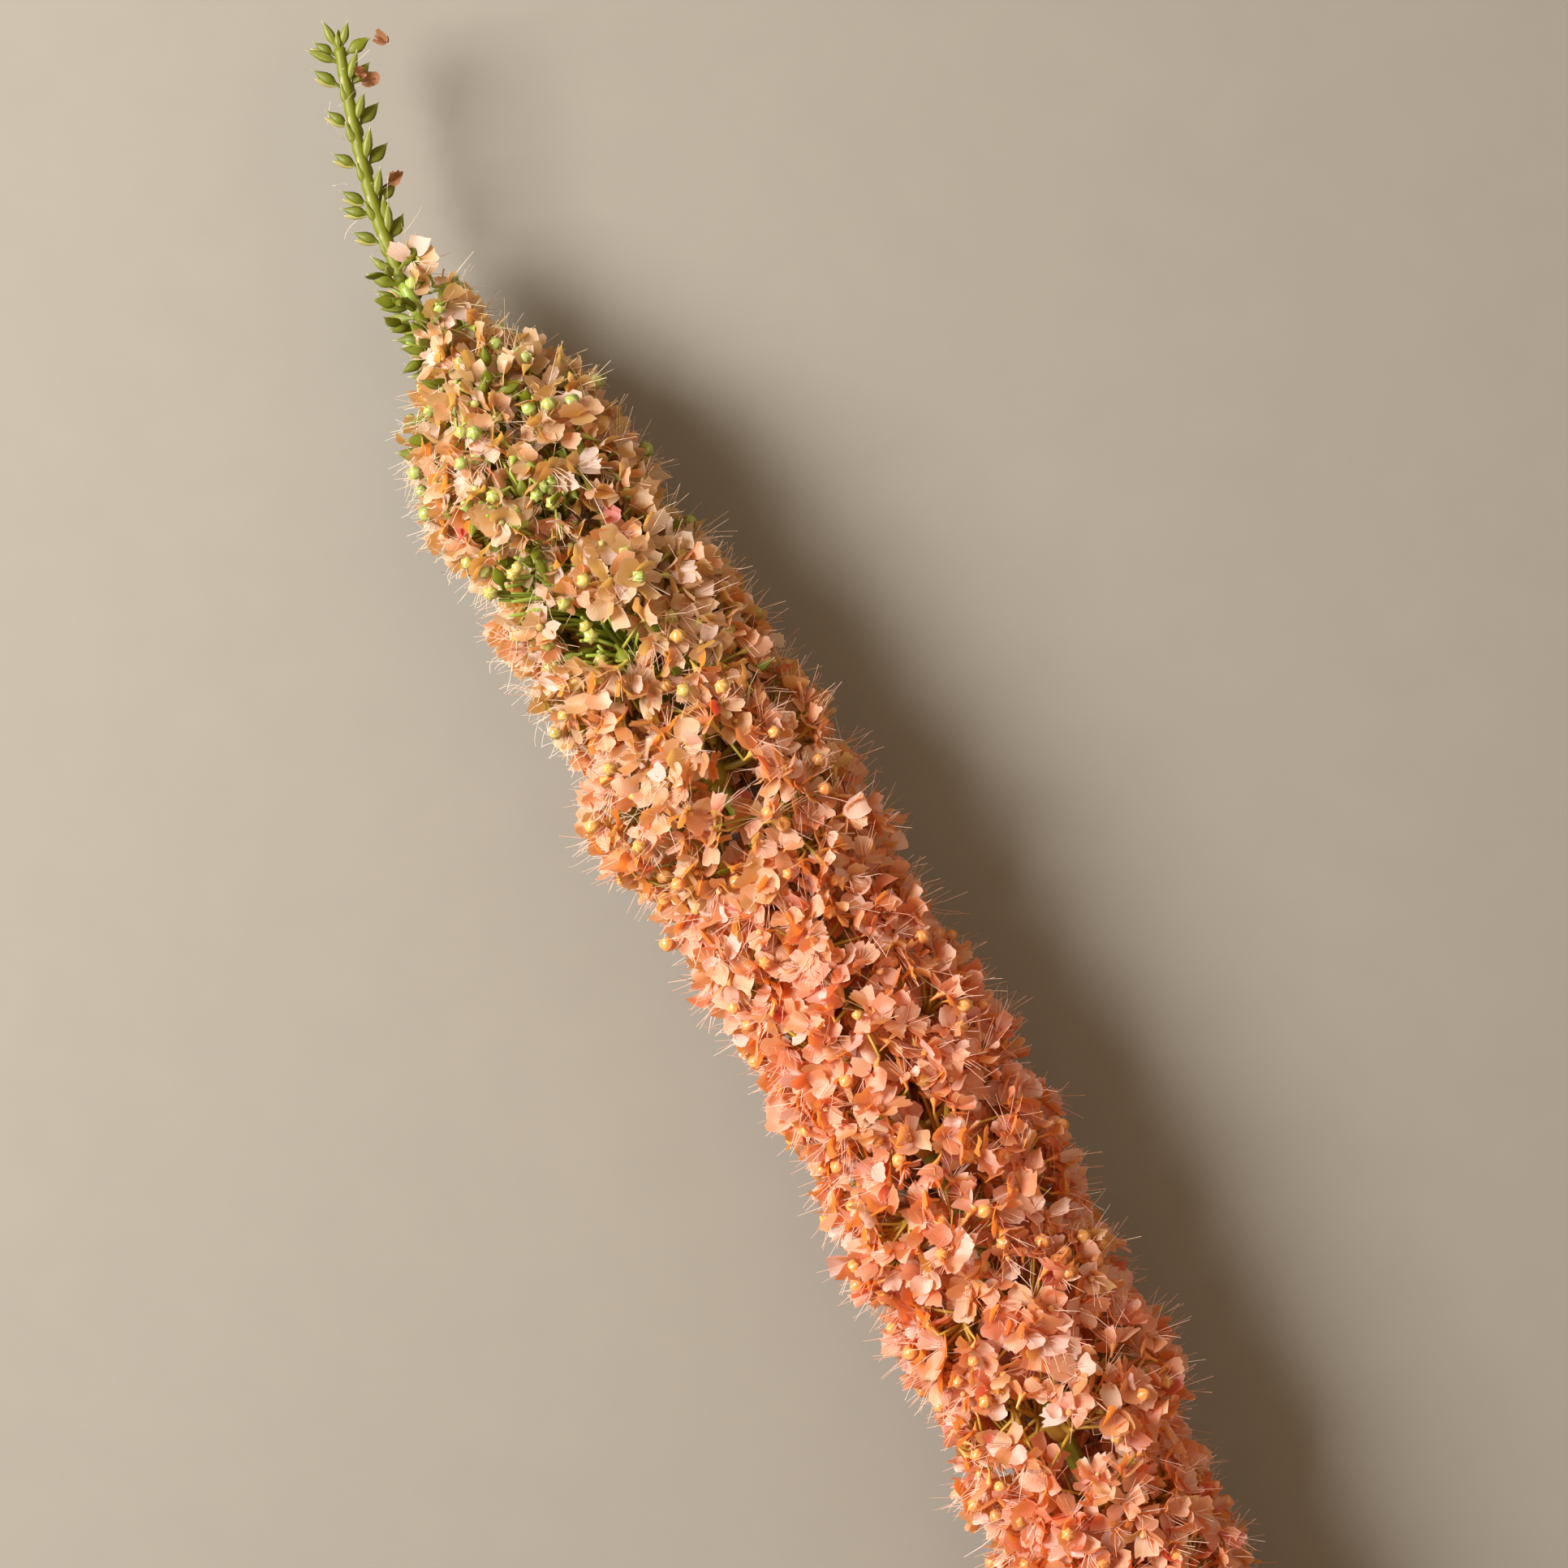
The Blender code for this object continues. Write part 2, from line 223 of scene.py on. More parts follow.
def unit(vectors):
    return vectors / np.linalg.norm(vectors, axis=-1, keepdims=True)


def turned(first, second, angle):
    """Vectors at an angle from the first ones towards the second ones."""
    return first * np.cos(angle)[..., None] + second * np.sin(angle)[..., None]


def stem_point(s):
    """Points on the stem's middle line; past its end they carry on straight."""
    s = np.asarray(s, float)
    inside = np.clip(s, 0.0, STEM_LENGTH)
    points = np.stack([np.interp(inside, ROUTE_ALONG, ROUTE[:, axis]) for axis in range(3)], axis=-1)
    return points + (s - inside)[..., None] * unit(ROUTE[-1] - ROUTE[-4])


def stem_axes(s):
    """Unit vectors along the stem, sideways and upwards at each station."""
    along = unit(stem_point(s + 4.0) - stem_point(s - 4.0))
    sideways = unit(np.cross([0.0, 0.0, 1.0], along))
    return along, sideways, np.cross(along, sideways)


def outwards(s, turn):
    """The direction away from the stem at a station, at an angle round it."""
    _, sideways, upwards = stem_axes(s)
    return turned(sideways, upwards, turn)


def read_outline(outline, s):
    return np.interp(s, *zip(*outline))


def petal_reach(s, turn):
    """How far the petals reach from the stem: the two measured sides, blended round it."""
    left = (1 + np.cos(turn)) / 2
    return read_outline(LEFT_REACH, s) * left + read_outline(RIGHT_REACH, s) * (1 - left)


def green_share(points, change):
    """0 down the stem and 1 near its tip, where moulded things are green."""
    place, length = change
    return np.clip((points[..., 0] * MM - place) / length, 0, 1)


def tier_stations():
    """Where each tier starts and ends."""
    head = (HEAD_END - HEAD_START) / TIERS
    neck = (NECK_END - HEAD_END) / NECK_TIERS
    starts = [HEAD_START + head * k for k in range(TIERS)]
    starts += [HEAD_END + neck * k for k in range(NECK_TIERS + 1)]
    return list(zip(starts, starts[1:]))


class Mesh:
    """Collects the points, triangles and named per-point values of one joined mesh."""

    def __init__(self):
        self.points = []
        self.triangles = []
        self.values = {}
        self.count = 0

    def add(self, points, triangles, **values):
        """Adds copies: points is (copies, n, 3), triangles (m, 3), and each value (copies, n[, 3])."""
        copies, n = points.shape[:2]
        if not copies:
            return
        offsets = self.count + n * np.arange(copies)
        self.points.append(points.reshape(-1, 3))
        self.triangles.append((triangles[None] + offsets[:, None, None]).reshape(-1, 3))
        for name, value in values.items():
            value = np.asarray(value, float)
            width = value.shape[2:]
            value = np.broadcast_to(value, (copies, n, *width)).reshape(copies * n, *width)
            self.values.setdefault(name, []).append(value)
        self.count += copies * n

    def build(self, name, material, slot, nodes=()):
        """Makes the object, which rides with the flower's one body."""
        points = np.concatenate(self.points)
        points[:, 2] = np.maximum(points[:, 2], FLOOR_CLEARANCE)
        mesh = bpy.data.meshes.new(name)
        mesh.from_pydata(points * MM, [], np.concatenate(self.triangles))
        for key, value in self.values.items():
            value = np.concatenate(value)
            kind, field = ("FLOAT_VECTOR", "vector") if value.ndim > 1 else ("FLOAT", "value")
            mesh.attributes.new(key, kind, "POINT").data.foreach_set(field, value.ravel())
        mesh.update(calc_edges=True)
        mesh.validate()
        mesh.shade_smooth()
        mesh.materials.append(material)
        obj = bpy.data.objects.new(name, mesh)
        bpy.context.scene.collection.objects.link(obj)
        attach(obj, "root")
        if nodes:
            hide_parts(*nodes)


def ring_triangles(rows, columns):
    """Triangles between rings of points, each of which has the given number of columns."""
    found = []
    for row in range(rows - 1):
        for column in range(columns):
            a = row * columns + column
            b = row * columns + (column + 1) % columns
            found += [(a, b, b + columns), (a, b + columns, a + columns)]
    return np.array(found)


def fan(centre, first, count):
    """Triangles from one point to the ring of points that begins with the first."""
    rim = first + np.arange(count)
    return np.stack([np.full(count, centre), rim, np.roll(rim, -1)], axis=1)


def across(directions):
    """Two unit vectors at right angles to each direction."""
    helper = np.where(np.abs(directions[..., 2:3]) < 0.8, [0.0, 0.0, 1.0], [1.0, 0.0, 0.0])
    first = unit(np.cross(directions, helper))
    return first, np.cross(directions, first)


def tubes(mesh, paths, radii, sides, ends=True, **values):
    """Round tubes along many paths at once: paths is (copies, rings, 3) and radii fit (copies, rings)."""
    copies, rings = paths.shape[:2]
    if not copies:
        return
    radii = np.broadcast_to(radii, (copies, rings))
    steps = np.gradient(paths, axis=1)
    side, top = across(unit(steps))
    turn = np.arange(sides) / sides * TAU
    ring = turned(side[:, :, None], top[:, :, None], turn)
    points = paths[:, :, None] + ring * radii[:, :, None, None]
    points = points.reshape(copies, -1, 3)
    triangles = [ring_triangles(rings, sides)[:, ::-1]]
    spread = {}
    for name, value in values.items():
        value = np.broadcast_to(np.asarray(value, float), (copies, rings))
        spread[name] = np.repeat(value, sides, axis=1)
        if ends:
            spread[name] = np.concatenate([spread[name], value[:, [0, -1]]], axis=1)
    if ends:
        points = np.concatenate([points, paths[:, [0, -1]]], axis=1)
        triangles.append(fan(rings * sides, 0, sides))
        triangles.append(fan(rings * sides + 1, (rings - 1) * sides, sides)[:, ::-1])
    mesh.add(points, np.concatenate(triangles), **spread)


class Florets:
    """Where each floret of one tier sits, which arm carries it and how it faces."""

    def __init__(self, start, end, chance):
        middle = (start + end) / 2
        width = read_outline(HEAD_OUTLINE, middle)
        self.slim = min(1.0, width / FULL_WIDTH)
        outer = max(10, round(TAU * width * (end - start) / OUTER_AREA))
        inner = round(outer * INNER_SHARE * self.slim)
        count = outer + inner
        rank = np.arange(count) % outer
        share = (rank + 0.5) / outer + chance.normal(0, 0.8 / outer, count)
        share[outer:] = chance.random(inner)
        share = np.clip(share, 0.02, 0.98)
        self.s = start + (end - start) * share
        self.turn = rank * GOLDEN_TURN + chance.normal(0, 0.11, count) + chance.random() * TAU
        self.place_arms(start, end, chance)
        reach = petal_reach(self.s, self.turn) + self.lump()
        radius = reach - FLORET_SINK * self.slim
        radius -= np.abs(chance.normal(0, SINK_SPREAD * self.slim, count))
        radius[outer:] = reach[outer:] * chance.uniform(*INNER_REACH, inner)
        radius = np.maximum(radius, LEAST_RADIUS)
        along, _, _ = stem_axes(self.s)
        out = outwards(self.s, self.turn)
        lean = (share - LEVEL_SHARE) * LEAN + chance.normal(0, LEAN_SPREAD, count)
        self.facing = unit(turned(out, along, lean) + chance.normal(0, FACING_SPREAD, (count, 3)))
        self.middle = stem_point(self.s) + out * radius[:, None]
        self.inner = np.arange(count) >= outer
        self.lift_off_floor()
        self.keep(~(self.in_thin_spot(chance) | self.bare_neck(chance)))
        self.size = chance.normal(1.0, SIZE_SPREAD, len(self.s)) * np.where(self.s > HEAD_END, NECK_SIZE, 1.0)
        self.tint = self.tint_from_place(chance)

    def place_arms(self, start, end, chance):
        """Spreads the tier's arms round the stem and gives each floret to the nearest one."""
        arms = ARMS if self.slim == 1.0 else NECK_ARMS
        even = np.arange(arms) / arms * TAU
        self.arm_turn = even + chance.normal(0, ARM_TURN_SPREAD, arms) + chance.random() * TAU
        middle = (start + end) / 2
        self.arm_s = middle + np.where(np.arange(arms) % 2, 1.0, -1.0) * (end - start) * ARM_STEP
        self.arm_s += chance.normal(0, ARM_STATION_SPREAD, arms)
        round_stem = np.angle(np.exp(1j * (self.turn[:, None] - self.arm_turn[None])))
        distance = np.hypot(ARM_RADIUS * self.slim * round_stem, self.s[:, None] - self.arm_s[None])
        self.arm = distance.argmin(axis=1)
        self.arm_distance = distance.min(axis=1)

    def lump(self):
        near = np.exp(-((self.arm_distance / LUMP_SIZE) ** 2) / 2)
        sides = np.abs(np.sin(self.turn)) * 0.6 + 0.4
        return LUMP_HEIGHT * (near - LUMP_MIDDLE) * self.slim * sides

    def lift_off_floor(self):
        """Florets under the flower spread sideways instead of poking into the surface."""
        low = self.middle[:, 2] < LOW_FLORETS
        self.middle[low, 2] = LOWEST_MIDDLE + self.middle[low, 2] * LOW_SQUEEZE
        self.facing[low, 2] = np.maximum(self.facing[low, 2], LOWEST_FACING)
        self.facing = unit(self.facing)

    def in_thin_spot(self, chance):
        inside = np.zeros(len(self.s), bool)
        for x, y, radius in THIN_SPOTS:
            distance = np.hypot(self.middle[:, 0] - x, self.middle[:, 1] - y)
            upper = self.middle[:, 2] > REST_HEIGHT
            inside |= upper & (distance < radius * chance.uniform(0.6, 1.1, len(self.s)))
        return inside

    def bare_neck(self, chance):
        """On the neck's left side most florets are still closed buds."""
        left = np.cos(self.turn) > np.where(self.s > UPPER_NECK, -0.1, 0.3)
        left &= self.s > BARE_FROM
        thin = np.clip((self.s - HEAD_END) / (NECK_END - HEAD_END), 0, 1) * THIN_SHARE
        return chance.random(len(self.s)) < np.where(left, BARE_SHARE, thin)

    def keep(self, chosen):
        for name in ("s", "turn", "facing", "middle", "inner", "arm"):
            setattr(self, name, getattr(self, name)[chosen])

    def tint_from_place(self, chance):
        """0 is tan and 1 is deep red."""
        x = self.middle[:, 0] * MM
        coral = np.clip((TAN_ABOVE - x) / (TAN_ABOVE - CORAL_BELOW), 0, 1)
        tint = TAN_TINT + CORAL_TINT * coral + chance.normal(0, FLORET_TINT_SPREAD, len(x))
        return np.clip(tint, 0.0, DEEPEST_FLORET)


def petal_template():
    """A petal's edge angles, closest together at the frayed outer end, and its triangles."""
    even = np.arange(PETAL_EDGE) / PETAL_EDGE * TAU
    turn = even - EDGE_CROWDING * np.sin(even)
    triangles = [fan(0, 1, PETAL_EDGE), ring_triangles(2, PETAL_EDGE)[:, ::-1] + 1]
    return turn, np.concatenate(triangles)


PETAL_TURN, PETAL_TRIANGLES = petal_template()


def add_petals(mesh, florets, chance):
    """Five cloth petals on each floret, each of which has been knocked about a little."""
    for k in range(PETALS):
        count = len(florets.s)
        side, top = across(florets.facing)
        turn = k / PETALS * TAU + florets.turn * 7 + chance.normal(0, PETAL_TURN_SPREAD, count)
        radial = turned(side, top, turn)
        openness = chance.normal(*OPENNESS, count)
        run = turned(florets.facing, radial, openness)
        run = unit(run + chance.normal(0, PETAL_JITTER, (count, 3)))
        face = turned(-radial, florets.facing, openness)
        wide = unit(np.cross(run, face))
        base = florets.middle + radial * PETAL_FOOT + chance.normal(0, PETAL_FOOT_SPREAD, (count, 3))
        tint = np.clip(florets.tint + chance.normal(0, TINT_SPREAD, count), 0, REDDEST_USUAL)
        tint = np.where(chance.random(count) < RED_PETALS, RED_TINT, tint)
        cup_petals(mesh, base, run, wide, florets.size, tint, chance)


def cup_petals(mesh, base, run, wide, size, tint, chance, crumple=1.0, pale_highlight_spread=0.85):
    """One petal at each base: a blunt frayed fan, cupped, curled and rippled, and in places painted pale,
    partly as painted highlights.
    """
    count = len(base)
    face = np.cross(wide, run)
    twist = chance.normal(0, PETAL_TWIST, count)
    wide, face = turned(wide, face, twist), turned(face, -wide, twist)
    length = PETAL_LENGTH * size * chance.normal(1.0, 0.12, count)
    width = PETAL_WIDTH * size * chance.normal(1.0, 0.14, count)
    outer_end = (1 + np.cos(PETAL_TURN)) / 2
    teeth = np.where(np.arange(PETAL_EDGE) % 2, PETAL_TEETH, -PETAL_TEETH) * outer_end
    ragged = 1 + teeth + chance.normal(0, PETAL_FRAY, (count, PETAL_EDGE)) * (0.3 + 0.7 * outer_end)
    ragged += 0.10 * np.sin(3 * PETAL_TURN + chance.uniform(0, TAU, (count, 1))) * outer_end
    narrow = 1 - PETAL_TAPER * (1 - outer_end) ** 1.1
    broad = np.sign(np.cos(PETAL_TURN)) * np.abs(np.cos(PETAL_TURN)) ** BLUNTNESS
    plump = np.sign(np.sin(PETAL_TURN)) * np.abs(np.sin(PETAL_TURN)) ** PLUMPNESS
    edge_x = plump * narrow * ragged * width[:, None] / 2
    edge_y = broad * ragged * length[:, None] / 2
    zero = np.zeros((count, 1))
    x = np.concatenate([zero, edge_x * INNER_RING, edge_x], axis=1)
    y = np.concatenate([zero, edge_y * INNER_RING, edge_y], axis=1) + length[:, None] / 2
    edge = np.concatenate([[0.0], np.full(PETAL_EDGE, 0.25), np.full(PETAL_EDGE, 1.0)])

    cup = chance.normal(*CUP, count)[:, None] * crumple
    curl = chance.normal(*CURL, count)[:, None] * crumple
    ripple_turn = np.concatenate([[0.0], PETAL_TURN, PETAL_TURN])
    ripple = np.sin(3 * ripple_turn + chance.uniform(0, TAU, (count, 1))) * edge
    z = cup * x**2 + curl * (y - 1.0) ** 2 + chance.normal(0, RIPPLE * crumple, (count, 1)) * ripple
    points = (
        base[:, None]
        + x[..., None] * wide[:, None]
        + y[..., None] * run[:, None]
        + z[..., None] * face[:, None]
    )
    cloth = np.stack([x, y, np.broadcast_to(tint[:, None], x.shape)], axis=-1)
    # Some petals are painted pale at random: partly paler cloth, partly painted highlights.
    faded = np.clip(chance.normal(-0.3, pale_highlight_spread, (count, 1)), 0, 1) * (tint[:, None] < REDDEST_USUAL)
    mesh.add(points, PETAL_TRIANGLES, cloth=cloth, edge=edge[None], faded=faded)


def spindle(mesh, base, direction, length, outline, sides, ribs=0, rib_depth=0.0, flat=1.0, **values):
    """Turned shapes: outline holds (share of length, radius), and ribs deepen the outline round it."""
    count = len(base)
    if not count:
        return
    side, top = across(direction)
    turn = np.arange(sides) / sides * TAU
    heights, radii = np.array(outline).T
    rib = 1 + rib_depth * np.cos(ribs * turn)
    ring = side[:, None] * (np.cos(turn) * rib)[:, None] + top[:, None] * (np.sin(turn) * rib * flat)[:, None]
    middle = base[:, None] + direction[:, None] * (heights * length[:, None])[..., None]
    size = (length / length.mean())[:, None] * radii
    points = middle[:, :, None] + ring[:, None] * size[..., None, None]
    points = points.reshape(count, -1, 3)
    spread = {name: np.asarray(v, float)[:, None] for name, v in values.items()}
    height = np.broadcast_to(np.repeat(heights, sides), (count, len(heights) * sides))
    ridge = np.broadcast_to(np.tile(np.cos(ribs * turn), len(heights)), height.shape)
    triangles = ring_triangles(len(heights), sides)[:, ::-1]
    mesh.add(points, triangles, height=height, ridge=ridge, **spread)


BEAD_OUTLINE = ((0.0, 0.15), (0.1, 0.8), (0.3, 1.6), (0.55, 1.75), (0.8, 1.35), (0.94, 0.65), (1.0, 0.1))
BEAD_RIBS = {"sides": 12, "ribs": 6, "rib_depth": 0.13}
ANTHER_OUTLINE = ((0.0, 0.3), (0.3, 0.85), (0.75, 0.75), (1.0, 0.08))
CALYX_OUTLINE = ((0.0, 0.32), (0.4, 0.45), (0.75, 0.9), (1.0, 1.3))


def add_beads(mesh, florets, chance):
    """A ribbed bead stands beside some florets, and a small smooth one in the middle of others."""
    count = len(florets.s)
    green = green_share(florets.middle, BEADS_GREEN) + chance.normal(0, GREEN_SPREAD, count)
    share = np.interp(florets.s, (LEAFY_FROM, HEAD_END - 20.0), BEAD_SHARE)
    beads = (chance.random(count) < share) & ~florets.inner
    some = beads.sum()
    away = unit(florets.facing[beads] + chance.normal(0, BEAD_TILT, (some, 3)))
    base = florets.middle[beads] + across(away)[0] * chance.uniform(*BEAD_ASIDE, (some, 1))
    base += florets.facing[beads] * chance.uniform(*BEAD_RISE, (some, 1))
    length = chance.normal(*BEAD_LENGTH, some)
    spindle(mesh, base, away, length, BEAD_OUTLINE, **BEAD_RIBS, green=green[beads])
    anthers = ~beads & ~florets.inner & (chance.random(count) < ANTHER_SHARE)
    direction = florets.facing[anthers]
    length = chance.normal(*ANTHER_LENGTH, anthers.sum())
    spindle(mesh, florets.middle[anthers], direction, length, ANTHER_OUTLINE, 7, green=green[anthers] - 0.1)


def add_calyxes(mesh, florets, chance):
    """The small moulded trumpet behind each floret, which holds its petals."""
    length = chance.normal(*CALYX_LENGTH, len(florets.s))
    green = green_share(florets.middle, CALYXES_GREEN)
    base = florets.middle - florets.facing * (length - 0.5)[:, None]
    spindle(mesh, base, florets.facing, length, CALYX_OUTLINE, 5, green=green)
    return base


def add_bristles(mesh, florets, chance):
    """Tufts of stiff straight bristles stand out of the florets, past their petals."""
    tuft = unit(florets.facing + chance.normal(0, TUFT_SPREAD, florets.facing.shape))
    for _ in range(BRISTLES):
        chosen = chance.random(len(florets.s)) < np.where(florets.inner, *BRISTLE_SHARE)
        count = chosen.sum()
        start = florets.middle[chosen] + chance.normal(0, 0.4, (count, 3))
        direction = unit(tuft[chosen] + chance.normal(0, BRISTLE_SPREAD, (count, 3)))
        length = chance.uniform(*BRISTLE_LENGTHS, count)
        climb = np.maximum(direction[:, 2], 0.05)
        length = np.minimum(length, np.maximum(CEILING - start[:, 2], 2.0) / climb)
        bend = across(direction)[0] * (chance.normal(0, BRISTLE_BEND, count) * length)[:, None]
        share = np.array([0.0, 0.5, 1.0])
        path = (
            start[:, None]
            + direction[:, None] * (length[:, None] * share)[..., None]
            + bend[:, None] * (share * share)[:, None]
        )
        radius = chance.uniform(*BRISTLE_RADII, count)[:, None] * np.array([1.0, 0.9, 0.55])
        green = green_share(start, BRISTLES_GREEN) + chance.normal(0, BRISTLE_GREEN_SPREAD, count)
        # Each bristle gets a random share of painted light: the pale colour of a lit bristle.
        tubes(mesh, path, radius, 3, ends=False, green=green[:, None], light=chance.random(count)[:, None])


def add_branches(mesh, start, end, florets, calyx_feet, chance):
    """The moulded frame of one tier: a collar on the stem, an arm to each lump and a twig to each floret."""
    thickness = 0.15 + 0.85 * florets.slim
    ring = start + (end - start) * 0.3
    collar = np.linspace(ring - 5.0, ring + 3.5, 6)
    flare = 0.12 if start > HEAD_END - 1.0 else thickness
    radius = read_outline(STEM_TAPER, collar) + np.array(COLLAR) * flare
    path = stem_point(collar)[None]
    tubes(mesh, path, radius, 14, green=green_share(path, BRANCHES_GREEN))

    foot_s = ring + (florets.arm_s - ring) * 0.15
    foot = stem_point(foot_s) + outwards(foot_s, florets.arm_turn) * 1.5
    reach = read_outline(HEAD_OUTLINE, florets.arm_s) * ARM_REACH
    tip = stem_point(florets.arm_s) + outwards(florets.arm_s, florets.arm_turn) * reach[:, None]
    bend = (foot + tip) / 2 - stem_axes(florets.arm_s)[0] * (reach * 0.2)[:, None]
    arms = curve(foot, bend, tip, 6)
    tubes(mesh, arms, thickness * np.linspace(*ARM_RADII, 6), 7, green=green_share(arms, BRANCHES_GREEN))

    step = np.where(florets.inner, 3, 5) - (chance.random(len(florets.s)) < 0.4)
    root = arms[florets.arm, step]
    out = outwards(florets.s, florets.turn) * chance.uniform(0.0, 2.4, (len(florets.s), 1))
    bend = root + (calyx_feet - root) * 0.5 + out
    twigs = curve(root, bend, calyx_feet, 4)
    tubes(mesh, twigs, TWIG_RADII, 4, green=green_share(twigs, BRANCHES_GREEN))


def add_green_patch(branches, leafy, beads, place, radius, chance):
    """Green stalks, closed buds and beads that show between the florets."""

    def spots(count, spread):
        turn = chance.uniform(0, TAU, count)
        away = radius * np.sqrt(chance.random(count))
        rise = chance.uniform(-spread, spread, count)
        return place + np.stack([away * np.cos(turn), away * np.sin(turn), rise], axis=1)

    tips = spots(PATCH_STALKS, 5.5)
    feet = stem_point(tips[:, 0] - chance.uniform(2.0, 12.0, PATCH_STALKS) - ROUTE[0, 0]) + [0.0, 0.0, 2.0]
    bends = (feet + tips) / 2 + chance.normal(0, 2.5, tips.shape)
    stalks = curve(feet, bends, tips, 6)
    tubes(branches, stalks, np.linspace(*STALK_RADII, 6), 6, green=1.0)
    for k, base in enumerate(spots(PATCH_BUDS, 4.0)):
        direction = unit(np.array([0.2, 0.3, 0.5]) + chance.normal(0, 0.6, 3))
        add_bud(leafy, base, direction, chance.uniform(6.5, 9.0), ("leaf", "pale", "leaf", "hug")[k % 4])
    away = unit(chance.normal(0, 0.6, (PATCH_BEADS, 3)) + [0.0, 0.0, 1.0])
    length = chance.normal(3.0, 0.2, PATCH_BEADS)
    green = chance.uniform(0.7, 1.0, PATCH_BEADS)
    base = spots(PATCH_BEADS, 2.0) + [0.0, 0.0, 3.5]
    spindle(beads, base, away, length, BEAD_OUTLINE, **BEAD_RIBS, green=green)


def add_fuzz(mesh, chance):
    """Tangled hair-fine fibres over the upper left side."""
    s = chance.uniform(*FUZZ_STATIONS, FUZZ)
    turn = chance.normal(0.2, 0.5, FUZZ)
    out = outwards(s, turn)
    start = stem_point(s) + out * (read_outline(LEFT_REACH, s) - chance.uniform(0.0, 4.0, FUZZ))[:, None]
    end = start + unit(out * 0.7 + chance.normal(0, 0.7, (FUZZ, 3))) * chance.uniform(3.0, 8.0, (FUZZ, 1))
    bend = (start + end) / 2 + chance.normal(0, 1.2, (FUZZ, 3))
    tubes(mesh, curve(start, bend, end, 5), FUZZ_RADIUS, 3, ends=False, green=0.6, light=1.0)


def curve(start, bend, end, count):
    """Points along smooth bends between many pairs of ends: (copies, count, 3)."""
    t = np.linspace(0, 1, count)[None, :, None]
    return start[:, None] * (1 - t) ** 2 + bend[:, None] * 2 * t * (1 - t) + end[:, None] * t**2


def add_leafy_buds(mesh, start, end, florets, chance):
    """Closed green buds stand between the florets of the upper tiers."""
    share = np.clip(((start + end) / 2 - LEAFY_FROM) / (HEAD_END - LEAFY_FROM), 0, 1)
    count = round(MOST_LEAFY * share * max(florets.slim, 0.4))
    s = chance.uniform(start, end, count)
    turn = chance.uniform(0, TAU, count)
    radius = np.maximum(petal_reach(s, turn) * chance.uniform(*LEAFY_REACH, count) - 2.0, 2.0)
    base = stem_point(s) + outwards(s, turn) * radius[:, None]
    direction = unit(outwards(s, turn) + stem_axes(s)[0] * 0.5 + chance.normal(0, 0.5, (count, 3)))
    low = base[:, 2] < 6.0
    direction[low, 2] = np.maximum(direction[low, 2], 0.0)
    for k in range(count):
        kind = ("olive", "leaf", "leaf", "pale")[k % 4]
        add_bud(mesh, base[k], direction[k], chance.uniform(6.5, 9.5), kind)


# Bud outlines as (share of length, radius): a thin stalk, a swollen middle and a hair-fine tip.
OLIVE_BUD = (
    (0.0, 0.45), (0.24, 0.36), (0.30, 0.62), (0.38, 1.10), (0.48, 1.34), (0.60, 1.20), (0.72, 0.78),
    (0.82, 0.36), (0.90, 0.14), (1.0, 0.07),
)
PALE_BUD = (
    (0.0, 0.50), (0.16, 0.45), (0.24, 0.80), (0.36, 1.15), (0.50, 1.20), (0.66, 0.90), (0.80, 0.52),
    (0.90, 0.24), (1.0, 0.10),
)
LEAF_BUD = (
    (0.0, 0.50), (0.20, 0.42), (0.28, 0.85), (0.40, 1.45), (0.52, 1.65), (0.66, 1.35), (0.80, 0.75),
    (0.90, 0.30), (1.0, 0.06),
)
SLIVER = ((0.0, 0.05), (0.2, 0.65), (0.5, 1.0), (0.8, 0.6), (1.0, 0.05))
# Each kind's outline, its hue (0 olive green, 0.5 yellow green, 1 cream), its pale streaks painted as
# highlights on its ribs, and thickness by width.
BUD_KINDS = {
    "olive": (OLIVE_BUD, 0.10, 0.25, 0.85),
    "pale": (PALE_BUD, 0.48, 1.0, 0.75),
    "leaf": (LEAF_BUD, 0.32, 0.12, 0.40),
    "hug": (PALE_BUD, 0.38, 0.35, 0.70),
    "bract": (SLIVER, 0.85, 0.4, 0.45),
    # The streak kind is a pale cream sliver, a painted highlight on the stem.
    "streak": (SLIVER, 1.0, 1.0, 0.35),
}
BUD_SIZE = 8.5  # the length at which a bud has its outline's full radius


def add_bud(mesh, base, direction, length, kind):
    """One pointed bud, thicker the longer it is."""
    outline, hue, pale, flat = BUD_KINDS[kind]
    girth = math.sqrt(length / BUD_SIZE)
    outline = [(height, radius * girth) for height, radius in outline]
    spindle(
        mesh, base[None], unit(direction)[None], np.array([length]), outline, 12,
        ribs=6, rib_depth=0.05, flat=flat, pale=np.array([pale]), hue=np.array([hue]),
    )


# Each plastic's colour down the stem and near the tip, its roughness and how pale its ridges are.
PLASTICS = {
    "bead": ((0.82, 0.26, 0.035), (0.26, 0.40, 0.05), 0.2, 0.3),
    "calyx": ((0.84, 0.34, 0.08), (0.32, 0.42, 0.07), 0.4, 0.0),
    "branch": ((0.50, 0.31, 0.035), (0.24, 0.37, 0.04), 0.35, 0.0),
}


def make_materials():
    worn = WITHERED_COLOURS
    return {
        "petal": cloth_material("petal_cloth", CLOTH_COLOURS, FOOT_COLOURS, THROUGH_COLOURS),
        "withered": cloth_material("withered_cloth", worn, worn, worn, gloss=0.15, pale_edge=0.05),
        "bristle": bristle_material(),
        "stem": stem_material(),
        "bud": bud_material(),
        **{kind: plastic_material(f"{kind}_plastic", *looks) for kind, looks in PLASTICS.items()},
    }


